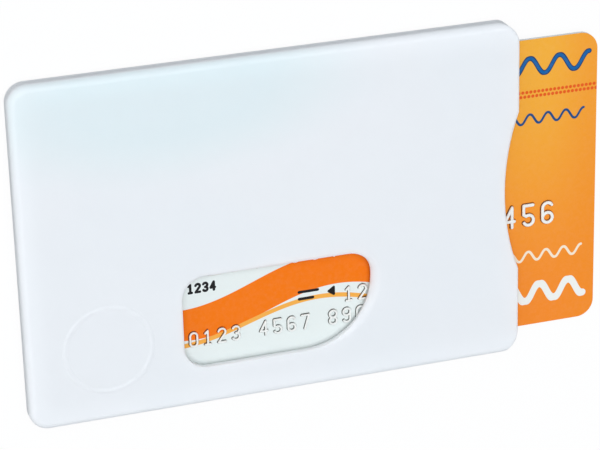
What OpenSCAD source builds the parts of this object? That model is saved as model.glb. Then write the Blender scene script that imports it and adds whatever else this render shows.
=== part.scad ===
// Hard plastic sleeve that shields one payment card from radio readers, with the card in its slot.
// The sleeve lies on its back: X runs along it to the open mouth, Y across it, Z up through the front.
// The origin is the middle of the sleeve's back face, and every length is in millimetres.

/* [Card] */
// Length of the card, along the way it slides
card_length = 85.6; // [84:0.1:90]
// Width of the card
card_width = 53.98; // [52:0.02:58]
// Radius of the card's corners
card_corner = 3.18; // [2:0.02:6]
// How far the card stands out of the mouth
card_out = 15.4; // [4:0.1:40]

/* [Card layers] */
// Thickness of each clear outer film
overlay_thickness = 0.06; // [0.05:0.01:0.1]
// Thickness of each printed plastic sheet
core_thickness = 0.26; // [0.24:0.01:0.4]
// Thickness of the middle sheet that holds the antenna
inlay_thickness = 0.12; // [0.1:0.01:0.2]

/* [Walls of the sleeve] */
// Thickness of the front wall
front_wall = 1.08; // [1:0.02:1.8]
// Thickness of the back wall
back_wall = 1.15; // [1:0.05:1.8]
// Thickness of each side wall, outside the channel
rail_width = 3.7; // [3:0.05:6]
// Thickness of the wall at the closed end
end_wall = 3.2; // [2.6:0.05:6]
// How far the sleeve reaches past a card that is pushed right in
mouth_cover = 0.65; // [0.2:0.05:2]
// Radius of the rounded long edges and closed end
edge_radius = 1.25; // [0.8:0.05:1.4]
// Radius of the slight rounding round the mouth
mouth_edge = 0.35; // [0.2:0.05:0.5]
// Corner radius at the closed end, seen from the front
closed_corner = 3.4; // [3:0.1:6]
// Corner radius at the mouth, seen from the front
mouth_corner = 4; // [3:0.1:6]

/* [Seam between the shells] */
// Height of the seam above the back face
seam_height = 2; // [1.8:0.05:2.2]
// Rounding of each shell's rim at the seam
seam_edge = 0.08; // [0.04:0.01:0.12]
// Width of the back shell's welding tongue
tongue_width = 0.8; // [0.5:0.05:1.2]
// Height of the welding tongue
tongue_height = 0.5; // [0.3:0.05:0.6]
// Distance from the mouth to the end of the tongue
tongue_setback = 3; // [2:0.5:8]
// Space round and above the tongue in its groove
tongue_clearance = 0.05; // [0.02:0.01:0.1]

/* [Channel] */
// Space beside the card on each side
side_gap = 0.31; // [0.2:0.01:0.6]
// Space between the card and the end wall when it is pushed in
end_gap = 0.05; // [0.02:0.01:0.5]
// Space between the card's back and the back foil
back_gap = 0.1; // [0.05:0.01:0.3]
// Space between the raised digits and the front foil
digit_gap = 0.25; // [0.15:0.01:0.5]
// Space left between the card and each holding bump
bump_gap = 0.06; // [0.04:0.01:0.1]
// Radius of the holding bumps in the side walls
bump_radius = 1.5; // [1:0.1:3]
// Distance from the mouth to the first bump
bump_setback = 7; // [6:0.5:20]
// Distance between the bumps along a side wall
bump_spacing = 28; // [15:1:40]
// Length of the widened lead-in at the mouth
lead_length = 1.2; // [0.5:0.1:2]
// How far the lead-in widens the channel on each side
lead_flare = 0.7; // [0.3:0.1:1.2]

/* [Thumb window] */
// Distance from the closed end to the window
window_setback = 27.55; // [20:0.05:32]
// Distance from the near long edge to the window
window_margin = 7; // [6:0.1:12]
// Length of the window along the sleeve
window_length = 34.35; // [28:0.05:40]
// Width of the window across the sleeve
window_width = 17.1; // [14:0.1:22]
// Radius of the window's three small corners
window_corner = 4.25; // [3:0.05:5]
// Radius of the wide sweep at the corner by the mouth
window_sweep = 12.2; // [9:0.1:13]
// Width of the sloping lip on the side by the mouth
lip_width = 1.7; // [0.8:0.1:1.8]
// Radius of the lip's rounding
lip_radius = 2.1; // [2:0.05:2.8]

/* [Mouth notch] */
// Depth of the finger notch in the mouth
notch_depth = 2.6; // [1:0.1:6]
// Width of the finger notch across the mouth
notch_chord = 29.5; // [16:0.5:36]

/* [Raised ring] */
// Distance from the closed end to the ring's middle
ring_setback = 14.3; // [12:0.1:16]
// Distance from the near long edge to the ring's middle
ring_margin = 13.3; // [12:0.1:24]
// Radius of the ring
ring_radius = 7.65; // [4:0.05:9]
// Width of the ring's ridge
ring_width = 0.9; // [0.5:0.05:1.4]
// Height of the ridge above the front face
ring_height = 0.1; // [0.05:0.01:0.2]

/* [Shields] */
// Thickness of the aluminium foils
foil_thickness = 0.05; // [0.03:0.01:0.1]
// Thickness of the adhesive film under each foil
adhesive_thickness = 0.05; // [0.03:0.01:0.1]
// Distance from the foil's edge to the channel's sides
foil_margin = 0.6; // [0.5:0.05:2]
// Distance from the foil's edge to the notch and to the window
foil_setback = 1.1; // [0.8:0.1:3]
// Corner radius of the foils
foil_corner = 2; // [1:0.1:4]

/* [Chip] */
// Distance from the card's inner short edge to the chip's middle
chip_from_end = 15.06; // [13:0.02:18]
// Distance from the card's far long edge to the chip's middle
chip_from_side = 23.89; // [22.5:0.01:25]
// Length of the contact plate
contact_length = 13; // [11:0.1:14]
// Width of the contact plate
contact_width = 11.8; // [10:0.1:13]
// Thickness of the gold contact pads
contact_thickness = 0.05; // [0.03:0.01:0.06]
// Gap between the contact pads
contact_gap = 0.2; // [0.1:0.05:0.4]
// Thickness of the tape that carries the contacts
carrier_thickness = 0.15; // [0.1:0.01:0.2]
// Corner radius of the carrier tape
carrier_corner = 1.6; // [0.8:0.1:2.5]
// Length of the hardened resin over the die
resin_length = 8.2; // [6:0.1:9]
// Width of the hardened resin over the die
resin_width = 6.6; // [5:0.1:7]
// Depth of the hardened resin under the tape
resin_depth = 0.33; // [0.3:0.01:0.36]
// Corner radius of the resin
resin_corner = 1.2; // [0.5:0.1:2]
// Space left round and under the resin in its pocket
resin_clearance = 0.05; // [0.02:0.01:0.1]
// Side of the square silicon die
die_side = 2.6; // [1.5:0.1:4]
// Thickness of the die
die_thickness = 0.18; // [0.1:0.01:0.25]
// Distance from the chip's middle to the gap beside the middle pad
pad_column = 2.3; // [1.8:0.1:3]

/* [Antenna] */
// Number of turns of the antenna coil
coil_turns = 4; // [2:1:6]
// Width of the coil's track
track_width = 0.16; // [0.1:0.01:0.2]
// Distance between neighbouring turns
track_pitch = 0.32; // [0.28:0.01:0.5]
// Distance from the card's edges to the outer turn
coil_margin = 2.8; // [2:0.1:5]
// Distance from the resin's pocket to the inner turn
coil_clearance = 0.6; // [0.55:0.05:1]
// Length that the outer turn's corners are cut by
coil_corner = 3; // [2:0.1:4]
// Distance from the chip's middle to each end of the coil
coil_end = 2.6; // [2:0.1:3]
// Radius of the pad at each end of the coil
pad_radius = 0.28; // [0.24:0.02:0.3]
// Radius of the conductive joints between the coil and the chip
joint_radius = 0.22; // [0.15:0.01:0.24]

/* [Stripe and panel] */
// Width of the magnetic stripe
stripe_width = 12.7; // [9:0.1:14]
// Distance from the card's far long edge to the stripe
stripe_margin = 4.2; // [3.5:0.1:6]
// Thickness of the stripe and of the signature panel
stripe_thickness = 0.03; // [0.02:0.01:0.04]
// Length of the signature panel
panel_length = 62; // [40:1:70]
// Width of the signature panel
panel_width = 9.5; // [6:0.1:12]
// Distance from the stripe to the signature panel
panel_gap = 3; // [2:0.1:8]

/* [Raised digits] */
// Height of the raised digits above the card's face
digit_relief = 0.46; // [0.3:0.01:0.5]
// Thickness of the coloured film on their tops
tipping_thickness = 0.02; // [0.01:0.01:0.04]
// Length of the account digits from foot to top
account_height = 4.2; // [3.5:0.1:5]
// Distance between the account digits
account_pitch = 3.63; // [3:0.01:3.8]
// Distance from the card's inner short edge to the first account digit
account_start = 11; // [8:0.1:12]
// Distance from the contact plate to the account digits
account_gap = 0.67; // [0.4:0.01:1.2]
// Line width of the account digits
account_stroke = 0.46; // [0.3:0.02:0.6]
// Length of the small digits from foot to top
small_height = 2.9; // [2.2:0.1:3.2]
// Distance between the small digits
small_pitch = 2.54; // [2.2:0.01:3]
// Line width of the small digits
small_stroke = 0.36; // [0.24:0.02:0.44]
// Distance from the card's inner short edge to the first date digit
date_start = 38.8; // [30:0.1:42]
// Distance from the card's near long edge to the date row
date_row = 11.8; // [11.2:0.1:13]
// Distance from the card's inner short edge to the first digit of the lower line
line_start = 10.4; // [8:0.1:14]
// Distance from the card's near long edge to the lower line
line_row = 7.8; // [5:0.1:8]

/* [Hidden] */
$fn = 96;
// Roundness of the notch, whose radius is large, and of the small curves
large_fn = 360;
small_fn = 48;
// How far a cut runs past the face that it opens, and how far a block's core runs into its rims
over = 1;
core_lap = 1;

// The card's thickness and the sleeve's overall size follow from the pieces
card_thickness = 2 * (overlay_thickness + core_thickness) + inlay_thickness;
sleeve_length = end_wall + end_gap + card_length + mouth_cover;
sleeve_width = card_width + 2 * (side_gap + rail_width);
closed_x = -sleeve_length / 2;
mouth_x = sleeve_length / 2;
near_y = -sleeve_width / 2;
far_y = sleeve_width / 2;

// Where the card lies at rest
card_high_x = mouth_x + card_out;
card_low_x = card_high_x - card_length;
card_half = card_width / 2;

// Heights, stacked from the back face up
sheet_thickness = foil_thickness + adhesive_thickness;
back_foil_z = back_wall + adhesive_thickness;
card_back_z = back_wall + sheet_thickness + back_gap;
back_core_z = card_back_z + overlay_thickness;
inlay_z = back_core_z + core_thickness;
front_core_z = inlay_z + inlay_thickness;
front_overlay_z = front_core_z + core_thickness;
card_front_z = card_back_z + card_thickness;
tipping_z = card_front_z + digit_relief - tipping_thickness;
front_foil_z = card_front_z + digit_relief + digit_gap;
front_adhesive_z = front_foil_z + foil_thickness;
wall_low_z = front_foil_z + sheet_thickness;
sleeve_height = wall_low_z + front_wall;

// The channel that the card slides in
channel_end_x = closed_x + end_wall;
channel_half = card_half + side_gap;
bump_centre_y = card_half + bump_gap + bump_radius;

// The thumb window: its sides, and its corner radii from the near one at the closed end, anticlockwise.
// The wide sweep always leaves a short straight side towards the mouth
window_low = [closed_x + window_setback, near_y + window_margin];
window_high = window_low + [window_length, window_width];
shortest_side = 0.3;
sweep_radius = min(window_sweep, window_width - window_corner - shortest_side);
window_radii = [window_corner, sweep_radius, window_corner, window_corner];

// The finger notch is one arc, from its depth and its chord
notch_radius = notch_chord * notch_chord / (8 * notch_depth) + notch_depth / 2;
notch_centre_x = mouth_x - notch_depth + notch_radius;

// The foils stop short of the notch and of the channel's sides
foil_low = [channel_end_x + foil_margin, -channel_half + foil_margin];
foil_high = [mouth_x - notch_depth - foil_setback, channel_half - foil_margin];

// The raised ring is the top of a torus, whose tube follows from the ridge's width and height. It starts
// a root's depth inside the front wall
ring_tube = (ring_width * ring_width / 4 + ring_height * ring_height) / (2 * ring_height);
ring_centre = [closed_x + ring_setback, near_y + ring_margin];
ring_root = 0.3;

// The chip
chip_centre = [card_low_x + chip_from_end, card_half - chip_from_side];
contact_half = [contact_length / 2, contact_width / 2];
resin_half = [resin_length / 2, resin_width / 2];
contact_z = card_front_z - contact_thickness;
carrier_z = contact_z - carrier_thickness;
resin_z = carrier_z - resin_depth;
contact_rows = 4;

// The account row lies beside the contact plate, and the other two rows near the card's edge
account_row_y = chip_centre[1] - contact_half[1] - account_gap - account_height / 2;
date_row_y = date_row - card_half;
line_row_y = line_row - card_half;

// The coil: its outer turn, and its two ends under the chip's tape, where half a pad's radius lies beside
// the track
coil_inner_y = chip_centre[1] - resin_half[1] - resin_clearance - coil_clearance - track_width / 2;
coil_low = [card_low_x + coil_margin, coil_inner_y - coil_turns * track_pitch];
coil_high = [card_high_x - coil_margin, card_half - coil_margin];
pad_offset = track_width / 2 + pad_radius / 2;
coil_start_pad = [chip_centre[0] + coil_end, coil_low[1] - pad_offset];
coil_end_pad = [chip_centre[0] - coil_end, coil_inner_y + pad_offset];
coil_path = concat(
    [[coil_start_pad[0], coil_low[1]]],
    [for (turn = [0:coil_turns - 1]) each coil_turn(turn)],
    [[coil_end_pad[0], coil_inner_y]]
);

// The stripe and the panel on the card's back
stripe_high_y = card_half - stripe_margin;
panel_high_y = stripe_high_y - stripe_width - panel_gap;
panel_low_x = card_low_x + (card_length - panel_length) / 2;

// The plain numbers on the card. A blank draws nothing
BLANK = -1;
SLASH = 10;
account_number = [1, 2, 3, 4, BLANK, 5, 6, 7, 8, BLANK, 9, 0, 1, 2, BLANK, 3, 4, 5, 6];
date_number = [1, 2, SLASH, 3, 4];
line_number = [0, 1, 2, 3, BLANK, 4, 5, 6, 7, BLANK, 8, 9, 0, 1, BLANK, 2, 3];

// Corner centres of a plate, from the near one at low X, anticlockwise
function corner_centres(low, high, radii) = [
    [low[0] + radii[0], low[1] + radii[0]],
    [high[0] - radii[1], low[1] + radii[1]],
    [high[0] - radii[2], high[1] - radii[2]],
    [low[0] + radii[3], high[1] - radii[3]]
];

// The plate without its rounded corners, through the corner centres
function plate_core(low, high, c) = [
    c[0], [c[0][0], low[1]], [c[1][0], low[1]],
    c[1], [high[0], c[1][1]], [high[0], c[2][1]],
    c[2], [c[2][0], high[1]], [c[3][0], high[1]],
    c[3], [low[0], c[3][1]], [low[0], c[0][1]]
];

module quarter_disc(radius) {
    intersection() {
        circle(radius);
        square(radius);
    }
}

// Rounded plate between two opposite corners, with a radius for each corner
module plate(low, high, radii) {
    centres = corner_centres(low, high, radii);
    polygon(plate_core(low, high, centres));
    for (i = [0:3]) {
        translate(centres[i])
            rotate(180 + 90 * i)
                quarter_disc(radii[i]);
    }
}

module even_plate(low, high, radius) {
    plate(low, high, [radius, radius, radius, radius]);
}

// Section of a wall's rim, from its inner side out to reach, with a rounding below and one above
module rim_section(reach, low, high, low_edge, high_edge) {
    translate([0, low + low_edge])
        square([reach, high - low - low_edge - high_edge]);
    translate([0, low])
        square([reach - low_edge, low_edge]);
    translate([0, high - high_edge])
        square([reach - high_edge, high_edge]);
    translate([reach - low_edge, low + low_edge])
        rotate(-90)
            quarter_disc(low_edge);
    translate([reach - high_edge, high - high_edge])
        quarter_disc(high_edge);
}

// Stands a section up and runs it back along Y, so that it faces +X
module straight_run(run) {
    rotate([90, 0, 0])
        linear_extrude(run)
            children();
}

// Outer block of one shell: one rounding on the long sides and closed end, and a slighter one at the mouth
module shell_block(low, high, low_edge, high_edge, low_mouth, high_mouth) {
    side_run = sleeve_length - closed_corner - mouth_corner;
    closed_half = sleeve_width / 2 - closed_corner;
    mouth_half = sleeve_width / 2 - mouth_corner;
    inner_x = closed_x + closed_corner;
    outer_x = mouth_x - mouth_corner;
    translate([inner_x - core_lap, -mouth_half - core_lap, low])
        cube([side_run + 2 * core_lap, 2 * (mouth_half + core_lap), high - low]);
    translate([inner_x, -closed_half, 0])
        rotate(180)
            straight_run(2 * closed_half)
                rim_section(closed_corner, low, high, low_edge, high_edge);
    translate([outer_x, mouth_half, 0])
        straight_run(2 * mouth_half)
            rim_section(mouth_corner, low, high, low_mouth, high_mouth);
    for (side = [0, 1]) {
        mirror([0, side, 0]) {
            translate([inner_x, mouth_half, 0])
                rotate(90)
                    straight_run(side_run)
                        rim_section(mouth_corner, low, high, low_edge, high_edge);
            translate([inner_x, closed_half, 0])
                rotate(90)
                    rotate_extrude(angle = 90)
                        rim_section(closed_corner, low, high, low_edge, high_edge);
            translate([outer_x, mouth_half, 0])
                intersection() {
                    rotate_extrude(angle = 90)
                        rim_section(mouth_corner, low, high, low_mouth, high_mouth);
                    rotate(90)
                        straight_run(mouth_corner)
                            rim_section(mouth_corner, low, high, low_edge, high_edge);
                }
        }
    }
}

// Outline of the card's channel, with its lead-in and its holding bumps
module channel_outline() {
    difference() {
        polygon([
            [channel_end_x, -channel_half],
            [mouth_x - lead_length, -channel_half],
            [mouth_x, -channel_half - lead_flare],
            [mouth_x + over, -channel_half - lead_flare],
            [mouth_x + over, channel_half + lead_flare],
            [mouth_x, channel_half + lead_flare],
            [mouth_x - lead_length, channel_half],
            [channel_end_x, channel_half]
        ]);
        for (side = [-1, 1], step = [0, 1]) {
            translate([mouth_x - bump_setback - step * bump_spacing, side * bump_centre_y])
                circle(bump_radius);
        }
    }
}

// Band round the closed end and both side walls, for the welding tongue and its groove
module weld_band(width, setback) {
    inset = [(end_wall - width) / 2, (rail_width - width) / 2];
    radius = closed_corner - inset[0];
    tip_radius = width / 8;
    difference() {
        plate([closed_x + inset[0], near_y + inset[1]], [mouth_x - setback, far_y - inset[1]],
            [radius, tip_radius, tip_radius, radius]);
        plate([closed_x + inset[0] + width, near_y + inset[1] + width],
            [mouth_x + over, far_y - inset[1] - width],
            [radius - width, tip_radius, tip_radius, radius - width]);
    }
}

// Through shape of the thumb window, grown on every side
module window_outline(grow) {
    plate(window_low - [grow, grow], window_high + [grow, grow],
        [for (radius = window_radii) radius + grow]);
}

module finger_notch() {
    translate([notch_centre_x, 0, -over])
        cylinder(r = notch_radius, h = sleeve_height + 2 * over, $fn = large_fn);
}

// What the slight rounding takes off the notch's edge, at an upper face on z = 0
module notch_rounding() {
    translate([notch_centre_x, 0, 0])
        rotate_extrude($fn = large_fn)
            difference() {
                translate([notch_radius - over, -mouth_edge])
                    square([over + mouth_edge, mouth_edge + over]);
                translate([notch_radius + mouth_edge, -mouth_edge])
                    circle(mouth_edge, $fn = small_fn);
            }
}

// Section of the void that leaves a convex lip of lip_radius, whose top is at reach
module lip_section(reach) {
    difference() {
        translate([0, sleeve_height - lip_radius])
            square([reach, lip_radius + over]);
        translate([reach, sleeve_height - lip_radius])
            circle(lip_radius);
    }
}

// The lip's void follows the window's own outline, moved towards the mouth, so the lip fades at both ends
module window_lip() {
    centres = corner_centres(window_low, window_high, window_radii);
    translate([lip_width, 0, 0]) {
        translate([centres[1][0], centres[1][1], 0])
            rotate(-90)
                rotate_extrude(angle = 90)
                    lip_section(sweep_radius);
        translate([centres[2][0], centres[2][1], 0])
            rotate_extrude(angle = 90)
                lip_section(window_corner);
        translate([centres[2][0], centres[2][1], 0])
            straight_run(centres[2][1] - centres[1][1])
                lip_section(window_corner);
        translate([centres[1][0], window_low[1] + window_corner, 0])
            rotate(-90)
                straight_run(lip_width)
                    lip_section(window_corner);
        translate([centres[2][0] - lip_width, centres[2][1], 0])
            rotate(90)
                straight_run(lip_width)
                    lip_section(window_corner);
    }
}

module raised_ring() {
    translate([ring_centre[0], ring_centre[1], 0])
        rotate_extrude()
            intersection() {
                translate([ring_radius, sleeve_height + ring_height - ring_tube])
                    circle(ring_tube, $fn = small_fn);
                translate([ring_radius - ring_width, sleeve_height - ring_root])
                    square([2 * ring_width, ring_root + ring_height + over]);
            }
}

module foil_plate() {
    even_plate(foil_low, foil_high, foil_corner);
}

module windowed_foil() {
    difference() {
        foil_plate();
        window_outline(foil_setback);
    }
}

module card_outline() {
    even_plate([card_low_x, -card_half], [card_high_x, card_half], card_corner);
}

module chip_outline() {
    even_plate(chip_centre - contact_half, chip_centre + contact_half, carrier_corner);
}

module resin_outline(grow) {
    even_plate(chip_centre - resin_half - [grow, grow], chip_centre + resin_half + [grow, grow],
        resin_corner + grow);
}

module die_outline() {
    translate(chip_centre)
        square(die_side, center = true);
}

// Both joints' outlines, on the pads at the ends of the coil
module joint_outlines(radius) {
    for (pad = [coil_start_pad, coil_end_pad]) {
        translate(pad)
            circle(radius);
    }
}

module stripe_outline() {
    translate([card_low_x, stripe_high_y - stripe_width])
        square([card_length, stripe_width]);
}

module panel_outline() {
    translate([panel_low_x, panel_high_y - panel_width])
        square([panel_length, panel_width]);
}

// The four bends of one turn, each cut by two points. The turn ends one pitch further in than it starts
function coil_turn(turn) =
    let (
        step = turn * track_pitch,
        low = coil_low + [step, step],
        high = coil_high - [step, step]
    ) [
        [high[0] - coil_corner, low[1]], [high[0], low[1] + coil_corner],
        [high[0], high[1] - coil_corner], [high[0] - coil_corner, high[1]],
        [low[0] + coil_corner, high[1]], [low[0], high[1] - coil_corner],
        [low[0], low[1] + track_pitch + coil_corner], [low[0] + coil_corner, low[1] + track_pitch]
    ];

// Left-hand normal of the way from a to b
function side_of(a, b) = [a[1] - b[1], b[0] - a[0]] / norm(b - a);

// Mitred side step at point i of a path, a unit away from both of its lines
function mitre(path, i) =
    let (
        last = len(path) - 1,
        before = i == 0 ? side_of(path[0], path[1]) : side_of(path[i - 1], path[i]),
        after = i == last ? before : side_of(path[i], path[i + 1])
    ) (before + after) / (1 + before * after);

module track_outline() {
    last = len(coil_path) - 1;
    half = track_width / 2;
    polygon(concat(
        [for (i = [0:last]) coil_path[i] + half * mitre(coil_path, i)],
        [for (i = [last:-1:0]) coil_path[i] - half * mitre(coil_path, i)]
    ));
}

// Straight line of a digit between two points, which runs half its own width past both
module line_stroke(from, to, stroke) {
    way = to - from;
    translate(from)
        rotate(atan2(way[1], way[0]))
            translate([-stroke / 2, -stroke / 2])
                square([norm(way) + stroke, stroke]);
}

// Part of a ring of a digit, from one angle to another, up to three quarters of a turn
module arc_stroke(centre, radius, from, to, stroke) {
    far = 2 * radius + stroke;
    step = (to - from) / 3;
    translate(centre)
        intersection() {
            difference() {
                circle(radius + stroke / 2, $fn = small_fn);
                circle(radius - stroke / 2, $fn = small_fn);
            }
            polygon(concat([[0, 0]],
                [for (i = [0:3]) far * [cos(from + i * step), sin(from + i * step)]]));
        }
}

module ring_stroke(centre, radius, stroke) {
    translate(centre)
        difference() {
            circle(radius + stroke / 2, $fn = small_fn);
            circle(radius - stroke / 2, $fn = small_fn);
        }
}

// Plain digit of the height given, about its own middle: its bends are arcs of one radius, r
module digit(value, height, stroke) {
    r = (height - stroke) / 4;
    upper = [0, r];
    lower = [0, -r];
    if (value == 0) {
        arc_stroke(upper, r, 0, 180, stroke);
        arc_stroke(lower, r, 180, 360, stroke);
        for (side = [-1, 1]) {
            translate([side * r - stroke / 2, -r])
                square([stroke, 2 * r]);
        }
    }
    if (value == 1) {
        line_stroke([0, -2 * r], [0, 2 * r], stroke);
        line_stroke([-0.7 * r, 1.3 * r], [0, 2 * r], stroke);
        line_stroke([-0.7 * r, -2 * r], [0.7 * r, -2 * r], stroke);
    }
    if (value == 2) {
        arc_stroke(upper, r, -40, 165, stroke);
        line_stroke(upper + r * [cos(40), -sin(40)], [-r, -2 * r], stroke);
        line_stroke([-r, -2 * r], [r, -2 * r], stroke);
    }
    if (value == 3) {
        arc_stroke(upper, r, -90, 150, stroke);
        arc_stroke(lower, r, -150, 90, stroke);
    }
    if (value == 4) {
        line_stroke([0.5 * r, -2 * r], [0.5 * r, 2 * r], stroke);
        line_stroke([0.5 * r, 2 * r], [-r, -0.8 * r], stroke);
        line_stroke([-r, -0.8 * r], [r, -0.8 * r], stroke);
    }
    if (value == 5) {
        arc_stroke(lower, r, -150, 120, stroke);
        line_stroke(lower + r * [cos(120), sin(120)], [-r, 0.2 * r], stroke);
        line_stroke([-r, 0.2 * r], [-r, 2 * r], stroke);
        line_stroke([-r, 2 * r], [0.9 * r, 2 * r], stroke);
    }
    if (value == 6) {
        six(r, stroke);
    }
    if (value == 7) {
        line_stroke([-r, 2 * r], [r, 2 * r], stroke);
        line_stroke([r, 2 * r], [-0.2 * r, -2 * r], stroke);
    }
    if (value == 8) {
        ring_stroke(upper, r, stroke);
        ring_stroke(lower, r, stroke);
    }
    if (value == 9) {
        rotate(180)
            six(r, stroke);
    }
    if (value == SLASH) {
        line_stroke([-0.7 * r, -2 * r], [0.7 * r, 2 * r], stroke);
    }
}

module six(r, stroke) {
    ring_stroke([0, -r], r, stroke);
    arc_stroke([0, r], r, 30, 180, stroke);
    translate([-r - stroke / 2, -r])
        square([stroke, 2 * r]);
}

// Row of digits along y, from the distance to the first one and the distance between them
module digit_row(number, start, y, pitch, height, stroke) {
    for (i = [0:len(number) - 1]) {
        translate([card_low_x + start + i * pitch, y])
            digit(number[i], height, stroke);
    }
}

module account_outline() {
    digit_row(account_number, account_start, account_row_y, account_pitch, account_height, account_stroke);
}

module date_outline() {
    digit_row(date_number, date_start, date_row_y, small_pitch, small_height, small_stroke);
}

module line_outline() {
    digit_row(line_number, line_start, line_row_y, small_pitch, small_height, small_stroke);
}

// Gives a flat outline its thickness at a height
module layer(low, thickness) {
    translate([0, 0, low])
        linear_extrude(thickness)
            children();
}

// The sub-parts

module front_shell() {
    color([0.89, 0.93, 0.96]) {
        difference() {
            union() {
                shell_block(seam_height, sleeve_height, seam_edge, edge_radius, seam_edge, mouth_edge);
                raised_ring();
            }
            layer(seam_height - over, wall_low_z - seam_height + over)
                channel_outline();
            layer(seam_height - over, over + tongue_height + tongue_clearance)
                weld_band(tongue_width + 2 * tongue_clearance, tongue_setback - tongue_clearance);
            layer(wall_low_z - over, front_wall + 2 * over)
                window_outline(0);
            window_lip();
            finger_notch();
            translate([0, 0, sleeve_height])
                notch_rounding();
        }
    }
}

module back_shell() {
    color([0.87, 0.91, 0.94]) {
        difference() {
            shell_block(0, seam_height, edge_radius, seam_edge, mouth_edge, seam_edge);
            layer(back_wall, seam_height - back_wall + over)
                channel_outline();
            finger_notch();
            mirror([0, 0, 1])
                notch_rounding();
        }
        layer(seam_height, tongue_height)
            weld_band(tongue_width, tongue_setback);
    }
}

module front_adhesive() {
    color([0.85, 0.83, 0.72])
        layer(front_adhesive_z, adhesive_thickness)
            windowed_foil();
}

module front_shield() {
    color([0.78, 0.79, 0.81])
        layer(front_foil_z, foil_thickness)
            windowed_foil();
}

module back_adhesive() {
    color([0.85, 0.83, 0.72])
        layer(back_wall, adhesive_thickness)
            foil_plate();
}

module back_shield() {
    color([0.78, 0.79, 0.81])
        layer(back_foil_z, foil_thickness)
            foil_plate();
}

module front_overlay() {
    color([0.95, 0.6, 0.18]) {
        layer(front_overlay_z, overlay_thickness)
            difference() {
                card_outline();
                chip_outline();
            }
        layer(front_overlay_z, tipping_z - front_overlay_z) {
            account_outline();
            date_outline();
            line_outline();
        }
    }
}

module front_core_sheet() {
    color([0.93, 0.94, 0.93])
        difference() {
            layer(front_core_z, core_thickness)
                card_outline();
            layer(carrier_z, card_front_z - carrier_z)
                chip_outline();
            layer(front_core_z - over, core_thickness + 2 * over) {
                resin_outline(resin_clearance);
                joint_outlines(joint_radius);
            }
        }
}

module antenna_inlay() {
    color([0.9, 0.91, 0.88])
        layer(inlay_z, inlay_thickness)
            difference() {
                card_outline();
                resin_outline(resin_clearance);
                track_outline();
                joint_outlines(pad_radius);
            }
}

module antenna_coil() {
    color([0.78, 0.45, 0.25]) {
        layer(inlay_z, inlay_thickness)
            track_outline();
        layer(inlay_z, inlay_thickness)
            joint_outlines(pad_radius);
    }
}

module back_core_sheet() {
    color([0.93, 0.94, 0.93])
        difference() {
            layer(back_core_z, core_thickness)
                card_outline();
            layer(resin_z - resin_clearance, core_thickness)
                resin_outline(resin_clearance);
        }
}

module back_overlay() {
    color([0.9, 0.92, 0.93])
        difference() {
            layer(card_back_z, overlay_thickness)
                card_outline();
            layer(card_back_z - over, over + stripe_thickness) {
                stripe_outline();
                panel_outline();
            }
        }
}

// Eight pads in two columns, and the earth pad between them, which reaches into the first pad by the mouth
module chip_contacts() {
    row_width = contact_width / contact_rows;
    color([0.85, 0.68, 0.3])
        layer(contact_z, contact_thickness)
            difference() {
                chip_outline();
                translate(chip_centre) {
                    translate([-pad_column - contact_gap, -contact_half[1] - over])
                        square([contact_gap, contact_width + 2 * over]);
                    translate([pad_column, -contact_half[1] - over])
                        square([contact_gap, contact_width + 2 * over - row_width]);
                    for (row = [1:contact_rows - 1]) {
                        translate([-contact_half[0] - over, -contact_half[1] + row * row_width])
                            square([contact_half[0] - pad_column + over, contact_gap]);
                        translate([pad_column, -contact_half[1] + row * row_width])
                            square([contact_half[0] - pad_column + over, contact_gap]);
                    }
                }
            }
}

module chip_carrier() {
    color([0.72, 0.62, 0.4])
        layer(carrier_z, carrier_thickness)
            chip_outline();
}

module chip_die() {
    color([0.35, 0.36, 0.42])
        layer(carrier_z - die_thickness, die_thickness)
            die_outline();
}

module chip_resin() {
    color([0.12, 0.12, 0.13])
        difference() {
            layer(resin_z, resin_depth)
                resin_outline(0);
            layer(carrier_z - die_thickness, die_thickness + over)
                die_outline();
        }
}

module chip_joints() {
    color([0.6, 0.6, 0.62])
        layer(front_core_z, carrier_z - front_core_z)
            joint_outlines(joint_radius);
}

module magnetic_stripe() {
    color([0.16, 0.12, 0.1])
        layer(card_back_z, stripe_thickness)
            stripe_outline();
}

module signature_panel() {
    color([0.96, 0.96, 0.93])
        layer(card_back_z, stripe_thickness)
            panel_outline();
}

module account_tipping() {
    color([0.97, 0.97, 0.96])
        layer(tipping_z, tipping_thickness)
            account_outline();
}

module date_tipping() {
    color([0.97, 0.97, 0.96])
        layer(tipping_z, tipping_thickness)
            date_outline();
}

module line_tipping() {
    color([0.94, 0.95, 0.94])
        layer(tipping_z, tipping_thickness)
            line_outline();
}

front_shell();
back_shell();
front_adhesive();
front_shield();
back_adhesive();
back_shield();
front_overlay();
front_core_sheet();
antenna_inlay();
antenna_coil();
back_core_sheet();
back_overlay();
chip_contacts();
chip_carrier();
chip_die();
chip_resin();
chip_joints();
magnetic_stripe();
signature_panel();
account_tipping();
date_tipping();
line_tipping();
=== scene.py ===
"""Looks of the card sleeve and its card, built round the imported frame.

Objects, camera and lamps are in metres. Material nodes, and meshes until add_piece scales them,
are in millimetres.
"""

import math

import bmesh
import bpy
import numpy as np
from mathutils import Matrix, Vector

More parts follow.
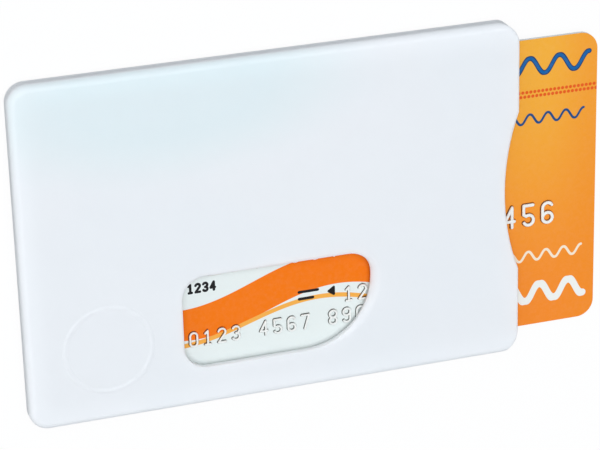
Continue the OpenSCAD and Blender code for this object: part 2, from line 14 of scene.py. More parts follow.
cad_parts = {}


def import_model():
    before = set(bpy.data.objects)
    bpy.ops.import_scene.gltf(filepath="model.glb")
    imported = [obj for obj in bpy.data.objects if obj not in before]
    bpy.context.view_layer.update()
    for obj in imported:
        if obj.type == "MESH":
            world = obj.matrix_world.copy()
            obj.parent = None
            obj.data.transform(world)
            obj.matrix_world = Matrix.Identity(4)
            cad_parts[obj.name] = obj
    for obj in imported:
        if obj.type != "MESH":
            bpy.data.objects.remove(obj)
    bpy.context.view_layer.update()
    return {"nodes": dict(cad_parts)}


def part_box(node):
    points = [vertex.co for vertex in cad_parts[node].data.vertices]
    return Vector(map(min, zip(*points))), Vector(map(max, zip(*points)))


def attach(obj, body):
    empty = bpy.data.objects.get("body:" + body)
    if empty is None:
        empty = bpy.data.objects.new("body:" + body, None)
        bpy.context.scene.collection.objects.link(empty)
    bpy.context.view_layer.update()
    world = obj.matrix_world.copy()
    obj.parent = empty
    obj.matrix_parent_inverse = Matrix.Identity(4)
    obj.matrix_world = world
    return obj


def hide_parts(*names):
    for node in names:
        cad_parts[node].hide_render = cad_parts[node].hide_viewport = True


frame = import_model()
nodes = frame["nodes"]

MM = 0.001

# In millimetres
HALF_CARD = 27.0  # from the card's middle to a long edge
CARD_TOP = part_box("chip_contacts")[1].z / MM
DIGIT_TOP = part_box("account_tipping")[1].z / MM


# Material nodes ----------------------------------------------------------------------------------


class Shader:
    """Writes one material's nodes. Its arithmetic takes numbers or sockets and gives a socket."""

    def __init__(self, name, **sockets):
        self.material = bpy.data.materials.new(name)
        self.material.use_nodes = True
        self.tree = self.material.node_tree
        self.tree.nodes.clear()
        self.output = self.node("OutputMaterial")
        self.bsdf = self.node("BsdfPrincipled")
        self.put(self.output.inputs["Surface"], self.bsdf.outputs["BSDF"])
        for socket, value in sockets.items():
            self.bsdf.inputs[socket.replace("_", " ")].default_value = value

    def node(self, kind, **settings):
        made = self.tree.nodes.new("ShaderNode" + kind)
        for name, value in settings.items():
            setattr(made, name, value)
        return made

    def put(self, socket, value):
        """Gives an input a number, a vector or another node's output."""
        if isinstance(value, bpy.types.NodeSocket):
            self.tree.links.new(value, socket)
        else:
            socket.default_value = value

    def set(self, name, value):
        self.put(self.bsdf.inputs[name], value)

    def math(self, operation, *values):
        made = self.node("Math", operation=operation)
        for socket, value in zip(made.inputs, values):
            self.put(socket, value)
        return made.outputs[0]

    def add(self, a, b):
        return self.math("ADD", a, b)

    def sub(self, a, b):
        return self.math("SUBTRACT", a, b)

    def mul(self, a, b):
        return self.math("MULTIPLY", a, b)

    def length(self, a, b):
        """Length of the vector (a, b)."""
        return self.math("SQRT", self.add(self.mul(a, a), self.mul(b, b)))

    def wave(self, x, amplitude, length, start, level):
        """level + amplitude * sin(2 pi (x - start) / length)"""
        turn = self.mul(self.sub(x, start), 2 * math.pi / length)
        return self.math("MULTIPLY_ADD", self.math("SINE", turn), amplitude, level)

    def ease(self, value, low, high):
        """0 below low, 1 above high, and smooth between them. Low may be above high."""
        if low > high:
            return self.sub(1.0, self.ease(value, high, low))
        made = self.node("MapRange", interpolation_type="SMOOTHSTEP")
        self.put(made.inputs["Value"], value)
        self.put(made.inputs["From Min"], low)
        self.put(made.inputs["From Max"], high)
        return made.outputs["Result"]

    def below(self, a, b, blur=0.04):
        """1 where a is below b and 0 elsewhere, blurred on both sides of the edge."""
        return self.ease(self.sub(a, b), blur, -blur)

    def spread(self, noise, low, high):
        """The middle part of a noise, from 0.3 to 0.7, spread over a range."""
        made = self.node("MapRange")
        self.put(made.inputs["Value"], noise)
        for name, value in (
            ("From Min", 0.3), ("From Max", 0.7), ("To Min", low), ("To Max", high)
        ):
            self.put(made.inputs[name], value)
        return made.outputs["Result"]

    def mix(self, factor, a, b):
        made = self.node("Mix", data_type="RGBA", clamp_factor=True)
        self.put(made.inputs[0], factor)
        for socket, value in ((made.inputs[6], a), (made.inputs[7], b)):
            self.put(socket, (*value, 1.0) if isinstance(value, tuple) else value)
        return made.outputs[2]

    def place(self):
        """The point on the object at rest, as a vector in millimetres."""
        scaled = self.node("VectorMath", operation="SCALE")
        self.put(scaled.inputs[0], self.node("TexCoord").outputs["Object"])
        self.put(scaled.inputs["Scale"], 1 / MM)
        return scaled.outputs["Vector"]

    def axes(self, vector):
        """The x, y and z of a vector."""
        made = self.node("SeparateXYZ")
        self.put(made.inputs[0], vector)
        return tuple(made.outputs)

    def stretch(self, vector, x, y, z):
        made = self.node("VectorMath", operation="MULTIPLY")
        self.put(made.inputs[0], vector)
        self.put(made.inputs[1], (x, y, z))
        return made.outputs["Vector"]

    def noise(self, vector, per_mm, detail, roughness, seed):
        made = self.node("TexNoise", noise_dimensions="4D")
        for name, value in (
            ("Vector", vector), ("W", seed), ("Scale", per_mm),
            ("Detail", detail), ("Roughness", roughness),
        ):
            self.put(made.inputs[name], value)
        return made.outputs["Fac"]

    def bump(self, height):
        """Gives the surface a bump whose heights are in millimetres."""
        made = self.node("Bump")
        self.put(made.inputs["Strength"], 1.0)
        self.put(made.inputs["Distance"], MM)
        self.put(made.inputs["Height"], height)
        self.set("Normal", made.outputs["Normal"])


def srgb(red, green, blue):
    """Linear colour from the 0 to 255 values of a picture."""
    return tuple(
        c / 12.92 if c <= 0.04045 else ((c + 0.055) / 1.055) ** 2.4
        for c in (red / 255, green / 255, blue / 255)
    )


# The sleeve's plastic ----------------------------------------------------------------------------


def white_plastic():
    """White and satin, with the faint orange peel, flow tones and specks of a moulding, and a
    painted cool reflection on the front.
    """
    s = Shader(
        "white_plastic",
        IOR=1.5,
        Specular_IOR_Level=0.28,
        Subsurface_Weight=0.8,
        Subsurface_Scale=0.0016,  # in metres
        Subsurface_Radius=(1.0, 1.0, 1.0),
    )
    place = s.place()
    x, y, z = s.axes(place)
    flow = s.noise(place, per_mm=0.035, detail=2.0, roughness=0.55, seed=3.0)
    tone = s.mix(s.ease(flow, 0.3, 0.7), srgb(244, 248, 254), srgb(247, 250, 255))

    # Painted reflection of cool light on the front: a cooler tone round a point near its far long
    # edge.
    # It covers the inner 0.4 of an ellipse and has faded out at 1.1.
    centre_x, centre_y = -19.0, 27.0
    half_x, half_y = 38.0, 17.0
    across = s.mul(s.sub(x, centre_x), 1 / half_x)
    along = s.mul(s.sub(y, centre_y), 1 / half_y)
    painted_cool_light = s.ease(s.length(across, along), 1.1, 0.4)
    front = s.ease(z, 2.6, 3.6)
    # Mixes the painted cool reflection into the front's tone
    tone = s.mix(s.mul(s.mul(painted_cool_light, front), 0.9), tone, srgb(230, 243, 245))

    specks = s.noise(place, per_mm=2.3, detail=3.0, roughness=0.6, seed=8.0)
    tone = s.mix(s.mul(s.ease(specks, 0.70, 0.78), 0.06), tone, srgb(205, 210, 214))
    s.set("Base Color", tone)

    satin = s.noise(place, per_mm=0.5, detail=3.0, roughness=0.6, seed=5.0)
    s.set("Roughness", s.spread(satin, 0.34, 0.44))
    peel = s.noise(place, per_mm=0.7, detail=2.0, roughness=0.5, seed=1.0)
    grain = s.noise(place, per_mm=7.0, detail=2.0, roughness=0.6, seed=2.0)
    s.bump(s.add(s.mul(peel, 0.0022), s.mul(grain, 0.0005)))
    return s


# The card's print and films ----------------------------------------------------------------------


def wave_line(s, x, y, level, swing, length, half_width, low, high):
    """1 inside a wavy line of even width with round ends.

    It starts in a trough at low. The distance up to the wave is divided by the length of its
    slope, so that the line is as thick on its flanks as in its crests.
    """
    held = s.math("MINIMUM", s.math("MAXIMUM", x, low), high)
    turn = s.sub(s.mul(s.sub(held, low), 2 * math.pi / length), math.pi / 2)
    slope = s.mul(s.math("COSINE", turn), swing * 2 * math.pi / length)
    up = s.sub(y, s.math("MULTIPLY_ADD", s.math("SINE", turn), swing, level))
    square = s.math("DIVIDE", s.mul(up, up), s.math("MULTIPLY_ADD", slope, slope, 1.0))
    past = s.sub(x, held)
    far = s.math("SQRT", s.math("MULTIPLY_ADD", past, past, square))
    return s.below(far, half_width, blur=0.03)


# level, swing, wave length, half width, first x, last x, ink. The first line is the dark rim of
# the second.
WAVE_LINES = (
    (22.1, 1.45, 5.6, 0.46, 22.2, 58.6, srgb(22, 58, 98)),
    (22.1, 1.45, 5.6, 0.27, 22.2, 58.6, srgb(14, 98, 166)),
    (12.4, 0.85, 3.4, 0.23, 32.2, 57.7, srgb(24, 76, 128)),
    (-13.6, 0.85, 3.4, 0.23, 42.3, 57.6, srgb(250, 234, 208)),
    (-20.8, 1.5, 5.6, 0.68, 41.2, 58.0, srgb(244, 243, 236)),
)

# y of each row of dots, and how far it is shifted along
DOT_ROWS = ((17.4, 0.0), (16.6, 0.375))
DOT_PITCH, DOT_RADIUS = 0.75, 0.3


def card_print():
    """The front: orange above a pale field with a band and a trail, under a satin film, with
    painted shade on the digits' flanks.
    """
    s = Shader("card_print", IOR=1.5, Specular_IOR_Level=0.14)
    place = s.place()
    x, y, z = s.axes(place)

    # Orange, paler towards the far long edge, deeper towards the end outside the sleeve
    orange = s.mix(s.ease(y, -HALF_CARD, HALF_CARD), srgb(250, 140, 42), srgb(248, 176, 58))
    orange = s.mix(s.mul(s.ease(x, 50.0, 60.5), 0.5), orange, srgb(246, 142, 34))
    dust = s.noise(place, per_mm=3.4, detail=2.0, roughness=0.7, seed=15.0)
    orange = s.mix(s.mul(s.ease(dust, 0.62, 0.74), 0.3), orange, srgb(222, 104, 26))

    # The pale field's upper edge is a wave that bends down more and more from one x on
    bend_x, bend = 22.0, 0.062
    beyond = s.math("MAXIMUM", s.sub(x, bend_x), 0.0)
    field_edge = s.wave(x, amplitude=1.8, length=64.0, start=-10.0, level=-2.5)
    field_edge = s.sub(field_edge, s.mul(s.mul(beyond, beyond), bend))
    pale = s.below(y, field_edge)
    colour = s.mix(pale, orange, srgb(235, 240, 236))

    # The band swells and narrows along its own wave. The trail is a thin line below it.
    band_middle = s.wave(x, amplitude=3.2, length=52.0, start=-3.0, level=-13.2)
    band_half = s.wave(x, amplitude=0.7, length=70.0, start=-20.0, level=2.7)
    band = s.below(s.math("ABSOLUTE", s.sub(y, band_middle)), band_half)
    colour = s.mix(s.mul(band, pale), colour, srgb(249, 121, 8))
    trail_middle = s.wave(x, amplitude=2.7, length=52.0, start=-5.0, level=-17.6)
    trail_half = 0.42
    trail = s.below(s.math("ABSOLUTE", s.sub(y, trail_middle)), trail_half)
    colour = s.mix(s.mul(trail, pale), colour, srgb(249, 176, 76))

    # The dots are counted from an x left of the card, so that every count is positive
    count_from = 60.0
    rows_start = s.ease(x, -21.6, -21.5)
    for row_y, shift in DOT_ROWS:
        count = s.mul(s.add(x, count_from + shift), 1 / DOT_PITCH)
        across = s.mul(s.math("ABSOLUTE", s.sub(s.math("FRACT", count), 0.5)), DOT_PITCH)
        dot = s.below(s.length(across, s.sub(y, row_y)), DOT_RADIUS)
        colour = s.mix(s.mul(dot, rows_start), colour, srgb(233, 92, 22))

    for *shape, ink in WAVE_LINES:
        colour = s.mix(wave_line(s, x, y, *shape), colour, ink)

    # Painted shade: the raised digits' flanks are darkened, more on the sides that face -x and +y,
    # dark brown over the orange and dark grey over the pale field
    facing = s.node("VectorMath", operation="DOT_PRODUCT")
    s.put(facing.inputs[0], s.node("TexCoord").outputs["Normal"])
    s.put(facing.inputs[1], (-0.75, 0.66, 0.0))
    facing = facing.outputs["Value"]
    painted_side_shade = s.mix(pale, s.ease(facing, -0.7, 0.5), s.ease(facing, -0.3, 0.45))
    flank = s.mul(s.ease(z, CARD_TOP, CARD_TOP + 0.09), painted_side_shade)
    # Mixes the painted shade into the flanks' colour
    colour = s.mix(s.mul(flank, 0.95), colour, s.mix(pale, srgb(62, 34, 20), srgb(38, 36, 36)))

    mottle = s.noise(place, per_mm=1.6, detail=3.0, roughness=0.6, seed=4.0)
    colour = s.mix(s.mul(s.ease(mottle, 0.35, 0.75), 0.025), colour, srgb(255, 236, 214))
    s.set("Base Color", colour)
    satin = s.noise(place, per_mm=0.7, detail=4.0, roughness=0.6, seed=6.0)
    s.set("Roughness", s.spread(satin, 0.38, 0.48))
    s.bump(hairlines(s, place, seed=9.0))
    return s


def hairlines(s, place, seed):
    """Heights of fine scratches along the card."""
    hair = s.stretch(place, 0.25, 6.0, 1.0)
    return s.mul(s.noise(hair, per_mm=1.0, detail=3.0, roughness=0.7, seed=seed), 0.0012)


def print_black():
    """Black ink of the small printed number and marks, a little open in its grain."""
    s = Shader("print_black", Roughness=0.4, IOR=1.5, Specular_IOR_Level=0.3)
    grain = s.noise(s.place(), per_mm=12.0, detail=3.0, roughness=0.6, seed=5.0)
    s.set("Base Color", s.mix(s.ease(grain, 0.55, 0.8), srgb(14, 13, 15), srgb(40, 36, 36)))
    s.bump(s.mul(grain, 0.001))
    return s


def tipping_white():
    """White foil on the digits' tops, a little rubbed."""
    s = Shader("tipping_white", Roughness=0.42, IOR=1.5)
    place = s.place()
    rub = s.noise(place, per_mm=3.0, detail=4.0, roughness=0.65, seed=12.0)
    rub = s.mul(s.ease(rub, 0.55, 0.8), 0.35)
    s.set("Base Color", s.mix(rub, srgb(244, 243, 238), srgb(224, 205, 178)))
    s.bump(s.mul(s.noise(place, per_mm=9.0, detail=2.0, roughness=0.5, seed=2.0), 0.002))
    return s


def card_back_film():
    """The back: pale, with an orange wave along one long edge and a line beside it."""
    s = Shader("card_back_film", Roughness=0.3, IOR=1.5, Coat_Weight=0.2, Coat_Roughness=0.15)
    place = s.place()
    x, y, _ = s.axes(place)
    colour = s.mix(s.ease(y, -HALF_CARD, HALF_CARD), srgb(228, 229, 226), srgb(222, 229, 232))
    edge = s.wave(x, amplitude=2.2, length=46.0, start=5.0, level=-18.5)
    colour = s.mix(s.below(y, edge, blur=0.05), colour, srgb(241, 150, 58))
    line_up, line_half = 1.4, 0.29
    line = s.below(s.math("ABSOLUTE", s.sub(s.sub(y, edge), line_up)), line_half, blur=0.03)
    colour = s.mix(line, colour, srgb(247, 190, 112))
    mottle = s.noise(place, per_mm=1.5, detail=3.0, roughness=0.6, seed=4.0)
    colour = s.mix(s.mul(s.ease(mottle, 0.4, 0.7), 0.05), colour, srgb(210, 205, 196))
    s.set("Base Color", colour)
    s.bump(hairlines(s, place, seed=2.0))
    return s


def card_sheet():
    """White card plastic: dense, slightly warm, with the fine lines of the punched edge."""
    s = Shader("card_sheet", Roughness=0.45, IOR=1.52)
    place = s.place()
    cloud = s.noise(place, per_mm=0.4, detail=3.0, roughness=0.6, seed=1.0)
    s.set("Base Color", s.mix(s.ease(cloud, 0.3, 0.7), srgb(247, 247, 244), srgb(252, 252, 249)))
    lines = s.stretch(place, 1.0, 1.0, 12.0)
    s.bump(s.mul(s.noise(lines, per_mm=4.0, detail=2.0, roughness=0.5, seed=2.0), 0.002))
    return s


def stripe_black():
    """Magnetic stripe: dark brown-black lacquer with faint lines along it from the readers."""
    s = Shader("stripe_black", IOR=1.5)
    along = s.stretch(s.place(), 0.03, 5.0, 1.0)
    lines = s.noise(along, per_mm=1.0, detail=4.0, roughness=0.7, seed=1.0)
    s.set("Base Color", s.mix(s.ease(lines, 0.35, 0.7), srgb(38, 30, 27), srgb(58, 47, 42)))
    s.set("Roughness", s.spread(lines, 0.26, 0.46))
    s.bump(s.mul(lines, 0.003))
    return s


def panel_white():
    """Signature panel: matt white with a net of fine wavy lines against erasure."""
    s = Shader("panel_white", Roughness=0.82, IOR=1.45)
    place = s.place()
    x, y, _ = s.axes(place)
    line_pitch = 0.8
    line_half = 0.07  # as a share of the pitch
    count_from = 200.0  # keeps every count of lines positive
    level = s.add(y, s.wave(x, amplitude=0.35, length=5.2, start=0.0, level=0.0))
    colour = srgb(246, 245, 239)
    for slope, ink in ((0.45, srgb(176, 200, 214)), (-0.45, srgb(232, 196, 158))):
        count = s.mul(s.add(level, s.mul(x, slope)), 1 / line_pitch)
        off = s.math("ABSOLUTE", s.sub(s.math("FRACT", s.add(count, count_from)), 0.5))
        colour = s.mix(s.mul(s.below(off, line_half, blur=0.02), 0.85), colour, ink)
    s.set("Base Color", colour)
    s.bump(s.mul(s.noise(place, per_mm=8.0, detail=3.0, roughness=0.6, seed=1.0), 0.004))
    return s


# The chip, the coil, the foils -------------------------------------------------------------------


def contact_gold():
    """Gold-plated contacts, finely brushed and a little stained."""
    s = Shader("contact_gold", Metallic=1.0)
    place = s.place()
    stain = s.noise(place, per_mm=0.5, detail=3.0, roughness=0.6, seed=6.0)
    s.set("Base Color", s.mix(s.ease(stain, 0.35, 0.7), srgb(232, 196, 112), srgb(216, 172, 88)))
    along = s.stretch(place, 0.6, 14.0, 1.0)
    brush = s.noise(along, per_mm=1.0, detail=3.0, roughness=0.6, seed=1.0)
    s.set("Roughness", s.spread(brush, 0.2, 0.36))
    s.bump(s.mul(brush, 0.0015))
    return s


def carrier_tape():
    """Glass cloth in resin: a plain weave shows faintly through it."""
    s = Shader("carrier_tape", Roughness=0.5, IOR=1.5)
    x, y, _ = s.axes(s.place())
    thread = 0.42  # from one thread to the next but one
    warp, weft = (s.math("SINE", s.mul(axis, 2 * math.pi / thread)) for axis in (x, y))
    weave = s.mul(warp, weft)
    s.set("Base Color", s.mix(s.ease(weave, -0.8, 0.8), srgb(150, 128, 84), srgb(182, 160, 112)))
    s.bump(s.mul(weave, 0.004))
    return s


def silicon():
    """The die: dark and shiny, with blocks of two tones."""
    s = Shader("silicon", Metallic=0.4, Roughness=0.14)
    flat = s.stretch(s.place(), 2.2, 2.2, 0.0)
    blocks = s.noise(flat, per_mm=1.0, detail=0.0, roughness=0.5, seed=3.0)
    s.set("Base Color", s.mix(s.ease(blocks, 0.46, 0.54), srgb(92, 94, 108), srgb(120, 118, 128)))
    s.bump(s.mul(blocks, 0.001))
    return s


def chip_resin():
    """Black encapsulant with a fine grain."""
    s = Shader("chip_resin", Roughness=0.35, IOR=1.53)
    grain = s.noise(s.place(), per_mm=6.0, detail=3.0, roughness=0.6, seed=3.0)
    s.set("Base Color", s.mix(s.ease(grain, 0.4, 0.7), srgb(33, 33, 36), srgb(46, 46, 49)))
    s.bump(s.mul(grain, 0.008))
    return s


def silver_joint():
    """Conductive paste with flakes of silver."""
    s = Shader("silver_joint", Metallic=0.85, Roughness=0.55)
    flakes = s.noise(s.place(), per_mm=22.0, detail=2.0, roughness=0.7, seed=3.0)
    s.set("Base Color", s.mix(s.ease(flakes, 0.35, 0.65), srgb(176, 177, 180), srgb(212, 212, 214)))
    s.bump(s.mul(flakes, 0.006))
    return s


def antenna_wire():
    """Copper wire, tarnished in places."""
    s = Shader("antenna_wire", Metallic=1.0, Roughness=0.3)
    place = s.place()
    tarnish = s.noise(place, per_mm=0.9, detail=3.0, roughness=0.6, seed=2.0)
    s.set("Base Color", s.mix(s.ease(tarnish, 0.4, 0.75), srgb(222, 140, 100), srgb(186, 104, 70)))
    s.bump(s.mul(s.noise(place, per_mm=14.0, detail=2.0, roughness=0.5, seed=1.0), 0.002))
    return s


def shield_foil():
    """Rolled aluminium foil with faint roll lines and soft creases."""
    s = Shader("shield_foil", Metallic=1.0)
    place = s.place()
    along = s.stretch(place, 0.05, 8.0, 1.0)
    roll = s.noise(along, per_mm=1.0, detail=3.0, roughness=0.6, seed=1.0)
    s.set("Base Color", s.mix(s.ease(roll, 0.3, 0.7), srgb(214, 216, 219), srgb(228, 229, 231)))
    s.set("Roughness", s.spread(roll, 0.24, 0.4))
    crease = s.noise(place, per_mm=0.22, detail=4.0, roughness=0.65, seed=7.0)
    s.bump(s.add(s.mul(roll, 0.0015), s.mul(crease, 0.05)))
    return s


def adhesive_film():
    """Clear yellowish adhesive, slightly cloudy."""
    s = Shader("adhesive_film", Roughness=0.25, IOR=1.47)
    cloud = s.noise(s.place(), per_mm=0.8, detail=4.0, roughness=0.65, seed=1.0)
    s.set("Base Color", s.mix(s.ease(cloud, 0.35, 0.7), srgb(238, 234, 214), srgb(228, 221, 192)))
    s.bump(s.mul(cloud, 0.01))
    return s


for shader, dressed in (
    (white_plastic(), ("front_shell", "back_shell")),
    (adhesive_film(), ("front_adhesive", "back_adhesive")),
    (shield_foil(), ("front_shield", "back_shield")),
    (card_sheet(), ("front_core_sheet", "antenna_inlay", "back_core_sheet")),
    (antenna_wire(), ("antenna_coil",)),
    (card_back_film(), ("back_overlay",)),
    (contact_gold(), ("chip_contacts",)),
    (carrier_tape(), ("chip_carrier",)),
    (silicon(), ("chip_die",)),
    (chip_resin(), ("chip_resin",)),
    (silver_joint(), ("chip_joints",)),
    (stripe_black(), ("magnetic_stripe",)),
    (panel_white(), ("signature_panel",)),
):
    for name in dressed:
        nodes[name].data.materials.clear()
        nodes[name].data.materials.append(shader.material)


# Card front: the film with its raised digits, their white tips, and the small print --------------

CARD_CORNER = 3.18  # radius that ISO/IEC 7810 gives the card
CHIP_CORNER = 1.6
SUNK = 0.004  # how deep a raised sign's solid stands in the film
RISE = DIGIT_TOP - CARD_TOP
TIP_LEVEL = CARD_TOP + 0.55 * RISE  # from here up a digit is white

# A sign's strokes about its middle, in units of its bends' radius: (from, to) is straight, and
# (centre, first angle, last angle) is part of a ring of radius 1.
UP, LOW = (0.0, 1.0), (0.0, -1.0)
STROKES = {
    "0": [(UP, 0, 180), (LOW, 180, 360), ((-1, -1), (-1, 1)), ((1, -1), (1, 1))],
    "1": [((0, -2), (0, 2)), ((-0.7, 1.3), (0, 2)), ((-0.7, -2), (0.7, -2))],
    "2": [(UP, -40, 165), ((0.766, 0.357), (-1, -2)), ((-1, -2), (1, -2))],
    "3": [(UP, -90, 150), (LOW, -150, 90)],
    "4": [((0.5, -2), (0.5, 2)), ((0.5, 2), (-1, -0.8)), ((-1, -0.8), (1, -0.8))],
    "5": [(LOW, -150, 120), ((-0.5, -0.134), (-1, 0.2)), ((-1, 0.2), (-1, 2)), ((-1, 2), (0.9, 2))],
    "6": [(LOW, 0, 360), (UP, 30, 180), ((-1, -1), (-1, 1))],
    "7": [((-1, 2), (1, 2)), ((1, 2), (-0.2, -2))],
    "8": [(UP, 0, 360), (LOW, 0, 360)],
    "9": [(UP, 180, 540), (LOW, 210, 360), ((1, 1), (1, -1))],
    "/": [((-0.7, -2), (0.7, 2))],
    "<": [((-1, 0), (1, 1.4)), ((-1, 0), (1, -1.4)), ((1, 1.4), (1, -1.4)), ((-0.4, 0), (0.6, 0))],
    "=": [((-3.4, 1.3), (3.4, 1.3)), ((-3.4, -1.3), (1.6, -1.3))],
}


def far_from(stroke, x, y):
    """Distance of the points x, y from a stroke's middle line."""
    if len(stroke) == 2:
        (from_x, from_y), (to_x, to_y) = stroke
        run, climb = to_x - from_x, to_y - from_y
        share = ((x - from_x) * run + (y - from_y) * climb) / (run * run + climb * climb)
        share = np.clip(share, 0, 1)
        return np.hypot(x - from_x - share * run, y - from_y - share * climb)
    (centre_x, centre_y), first, last = stroke
    middle, half = (first + last) / 2, (last - first) / 2
    off = (np.degrees(np.arctan2(y - centre_y, x - centre_x)) - middle + 180) % 360 - 180
    nearest = np.radians(middle + np.clip(off, -half, half))
    return np.hypot(x - centre_x - np.cos(nearest), y - centre_y - np.sin(nearest))


def raised(signs, start_x, row_y, pitch, radius, flat, foot, rise, step):
    """A row of raised signs, each one a closed solid.

    A sign's top stays level up to flat away from its strokes' middle lines, its flank ends at
    foot, and step is the side of the mesh's squares.
    """
    bm = bmesh.new()
    for number, sign in enumerate(signs):
        if sign == " ":
            continue
        strokes = STROKES[sign]
        points = np.array([p for s in strokes for p in (s if len(s) == 2 else s[:1])], float)
        reach_x, reach_y = (np.abs(points).max(axis=0) + 1.0) * radius + foot + step
        x, y = np.meshgrid(np.arange(-reach_x, reach_x, step), np.arange(-reach_y, reach_y, step))
        away = np.min([far_from(s, x / radius, y / radius) for s in strokes], 0) * radius
        slope = np.clip((away - flat) / (foot - flat), 0, 1)
        height = 1 - slope * slope * (3 - 2 * slope)
        corners = height[:-1, :-1], height[1:, :-1], height[:-1, 1:], height[1:, 1:]
        verts = {}
        for row, column in zip(*np.nonzero(np.max(corners, 0) > 0)):
            face = []
            for spot in (
                (row, column), (row, column + 1), (row + 1, column + 1), (row + 1, column)
            ):
                if spot not in verts:
                    across = start_x + number * pitch + x[spot]
                    up = CARD_TOP - SUNK + (rise + SUNK) * height[spot]
                    verts[spot] = bm.verts.new((across, row_y + y[spot], up))
                face.append(verts[spot])
            bm.faces.new(face)
    for face in bm.faces:
        face.smooth = True
    close(bm)
    return bm


def close(bm):
    """Closes a mesh whose open edges lie in level planes."""
    edges = [edge for edge in bm.edges if edge.is_boundary]
    if edges:
        bmesh.ops.triangle_fill(bm, use_beauty=True, edges=edges)
    bmesh.ops.recalc_face_normals(bm, faces=bm.faces)


def split(bm, level):
    """Cuts a mesh at a level into the closed part below it and the closed part above it."""
    above = bm.copy()
    for part, side in ((bm, {"clear_outer": True}), (above, {"clear_inner": True})):
        geometry = part.verts[:] + part.edges[:] + part.faces[:]
        bmesh.ops.bisect_plane(
            part, geom=geometry, dist=1e-5, plane_co=(0, 0, level), plane_no=(0, 0, 1), **side
        )
        close(part)
    return bm, above


def rounded(low, high, radius, steps=24):
    """Points of a rectangle with rounded corners, in order."""
    corners = (
        (high.x - radius, high.y - radius, 0),
        (low.x + radius, high.y - radius, 90),
        (low.x + radius, low.y + radius, 180),
        (high.x - radius, low.y + radius, 270),
    )
    turns = [
        (x, y, math.radians(first + 90 * i / steps))
        for x, y, first in corners
        for i in range(steps + 1)
    ]
    return [(x + radius * math.cos(turn), y + radius * math.sin(turn)) for x, y, turn in turns]


def plate(outline, opening, low, high):
    """A flat sheet between two levels, with one opening."""
    bm = bmesh.new()
    for loop in (outline, opening):
        rings = [[bm.verts.new((x, y, level)) for x, y in loop] for level in (low, high)]
        for i in range(len(loop)):
            bm.faces.new([rings[0][i - 1], rings[0][i], rings[1][i], rings[1][i - 1]])
    for level in (low, high):
        edges = [
            edge
            for edge in bm.edges
            if edge.is_boundary and all(abs(vert.co.z - level) < 1e-6 for vert in edge.verts)
        ]
        bmesh.ops.triangle_fill(bm, use_beauty=True, edges=edges)
    bmesh.ops.recalc_face_normals(bm, faces=bm.faces)
    return bm


def add_piece(name, parts, shader, body, slot, *stands_for):
    """One object from meshes in millimetres."""
    joined = bmesh.new()
    for part in parts:
        held = bpy.data.meshes.new("held")
        part.to_mesh(held)
        joined.from_mesh(held)
        bpy.data.meshes.remove(held)
        part.free()
    mesh = bpy.data.meshes.new(name)
    joined.to_mesh(mesh)
    joined.free()
    mesh.transform(Matrix.Scale(MM, 4))
    mesh.materials.append(shader.material)
    made = bpy.data.objects.new(name, mesh)
    bpy.context.scene.collection.objects.link(made)
    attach(made, body)
    if stands_for:
        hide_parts(*stands_for)


# The signs of each raised row, x of the first one's middle, y of the row, and its sizes
SMALL_DIGITS = {"pitch": 2.54, "radius": 0.635, "flat": 0.09, "foot": 0.31, "step": 0.055}
LARGE_DIGITS = {"pitch": 3.63, "radius": 0.935, "flat": 0.2, "foot": 0.42, "step": 0.07}
ROWS = {
    "account": ("1234 5678 9012 3456", -14.45, -5.57, LARGE_DIGITS),
    "date": ("12/34", 13.35, -15.19, SMALL_DIGITS),
    "line": ("0123 4567 8901 23", -15.05, -19.19, SMALL_DIGITS),
}
PRINTED = {"rise": 0.012, "step": 0.03}

film_low, film_high = (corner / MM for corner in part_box("front_overlay"))
chip_low, chip_high = (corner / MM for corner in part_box("chip_contacts"))
film_parts = [
    plate(
        rounded(film_low, film_high, CARD_CORNER),
        rounded(chip_low, chip_high, CHIP_CORNER),
        film_low.z,
        CARD_TOP,
    )
]
white_foil = tipping_white()
for name, (signs, start_x, row_y, sizes) in ROWS.items():
    flanks, tips = split(raised(signs, start_x, row_y, rise=RISE, **sizes), TIP_LEVEL)
    film_parts.append(flanks)
    add_piece(
        name + "_digit_tips", [tips], white_foil, "card", "tipping_white", name + "_tipping"
    )
add_piece("card_front_film", film_parts, card_print(), "card", "card_print", "front_overlay")
add_piece(
    "card_small_print",
    [
        raised("1234", -15.2, -9.75, pitch=1.34, radius=0.37, flat=0.215, foot=0.235, **PRINTED),
        raised("=", 6.0, -14.2, pitch=1.0, radius=0.5, flat=0.25, foot=0.27, **PRINTED),
        raised("<", 10.2, -14.2, pitch=1.0, radius=0.46, flat=0.22, foot=0.24, **PRINTED),
    ],
    print_black(),
    "card",
    "card_print",
)


# Camera, lamps, floor ----------------------------------------------------------------------------

# The camera that was fitted to the outlines of the sleeve and the card in the photograph
CAMERA_PLACE = (-0.11764, 0.16405, 0.38530)
CAMERA_RIGHT = (0.94883, -0.02652, 0.31466)
CAMERA_BACK = (-0.28165, 0.37954, 0.88126)
CAMERA_LENS = 151.86  # in millimetres, for a sensor 36 mm wide

# Name, place, width and height, watts and colour. Each lamp aims at the frame's origin.
LAMPS = (
    ("overhead", (-0.18, 0.40, 1.68), (1.9, 1.9), 24.5, (0.97, 1.015, 1.07)),
    ("key", (-1.05, 0.0, 0.38), (2.0, 0.6), 2.2, (1.0, 0.975, 0.94)),
)
WORLD_LIGHT = (0.955, 1.01, 1.06, 1.0)
WORLD_STRENGTH = 0.38
WHITE = (1.0, 1.0, 1.0, 1.0)

FLOOR_HALF = 4.0
FLOOR_DROP = 0.00002  # keeps the floor off the sleeve's underside
FLOOR_SEEN = (0.95, 0.95, 0.95)
FLOOR_BOUNCE = (0.55, 0.55, 0.55)  # for the light that it throws back on the object
SHADOW_SHARE = 0.07  # of the lit floor in what the camera sees near the object
SHADOW_NEAR, SHADOW_FAR = 0.12, 0.5


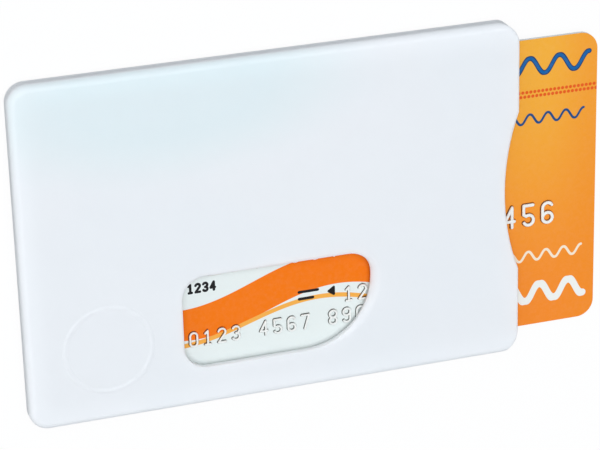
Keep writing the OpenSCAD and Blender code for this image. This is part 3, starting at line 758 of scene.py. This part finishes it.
def camera():
    data = bpy.data.cameras.new("camera")
    data.sensor_fit = "HORIZONTAL"
    data.sensor_width = 36.0
    data.lens = CAMERA_LENS
    data.clip_start = 0.01
    data.clip_end = 20.0
    made = bpy.data.objects.new("camera", data)
    back = Vector(CAMERA_BACK).normalized()
    up = back.cross(Vector(CAMERA_RIGHT).normalized()).normalized()
    turn = Matrix((up.cross(back), up, back)).transposed()
    made.matrix_world = Matrix.Translation(CAMERA_PLACE) @ turn.to_4x4()
    bpy.context.scene.collection.objects.link(made)
    bpy.context.scene.camera = made


def lamp(name, place, size, power, colour):
    data = bpy.data.lights.new(name, "AREA")
    data.shape = "RECTANGLE"
    data.size, data.size_y = size
    data.energy = power
    data.color = colour
    made = bpy.data.objects.new(name, data)
    made.location = place
    towards = Vector((0.0, 0.0, 0.0)) - Vector(place)
    made.rotation_euler = towards.to_track_quat("-Z", "Y").to_euler()
    bpy.context.scene.collection.objects.link(made)


def world():
    """A plain pale light from all sides, which the camera sees as white."""
    made = bpy.data.worlds.new("studio")
    made.use_nodes = True
    tree = made.node_tree
    tree.nodes.clear()
    lit = tree.nodes.new("ShaderNodeBackground")
    lit.inputs["Color"].default_value = WORLD_LIGHT
    lit.inputs["Strength"].default_value = WORLD_STRENGTH
    seen = tree.nodes.new("ShaderNodeBackground")
    seen.inputs["Color"].default_value = WHITE
    path = tree.nodes.new("ShaderNodeLightPath")
    mix = tree.nodes.new("ShaderNodeMixShader")
    output = tree.nodes.new("ShaderNodeOutputWorld")
    tree.links.new(path.outputs["Is Camera Ray"], mix.inputs[0])
    tree.links.new(lit.outputs[0], mix.inputs[1])
    tree.links.new(seen.outputs[0], mix.inputs[2])
    tree.links.new(mix.outputs[0], output.inputs["Surface"])
    bpy.context.scene.world = made


def floor():
    """A white floor. The camera sees plain white and a share of the lit floor, with the shadow."""
    mesh = bpy.data.meshes.new("floor")
    corners = [
        (x * FLOOR_HALF, y * FLOOR_HALF, 0) for x, y in ((-1, -1), (1, -1), (1, 1), (-1, 1))
    ]
    mesh.from_pydata(corners, [], [(0, 1, 2, 3)])
    made = bpy.data.objects.new("floor", mesh)
    made.location.z = -FLOOR_DROP
    bpy.context.scene.collection.objects.link(made)
    s = Shader("floor_paper", Roughness=0.9)
    seen = s.node("LightPath").outputs["Is Camera Ray"]
    s.set("Base Color", s.mix(seen, FLOOR_BOUNCE, FLOOR_SEEN))
    glow = s.node("Emission")
    s.put(glow.inputs["Color"], WHITE)
    s.put(glow.inputs["Strength"], 1.0)
    away = s.node("VectorMath", operation="LENGTH")
    s.put(away.inputs[0], s.node("TexCoord").outputs["Object"])
    share = s.mul(s.ease(away.outputs["Value"], SHADOW_FAR, SHADOW_NEAR), SHADOW_SHARE)
    mix = s.node("MixShader")
    s.put(mix.inputs[0], s.mul(seen, s.sub(1.0, share)))
    s.put(mix.inputs[1], s.bsdf.outputs[0])
    s.put(mix.inputs[2], glow.outputs[0])
    s.put(s.output.inputs["Surface"], mix.outputs[0])
    mesh.materials.append(s.material)


bpy.context.scene.view_settings.view_transform = "Standard"
camera()
world()
for values in LAMPS:
    lamp(*values)
floor()
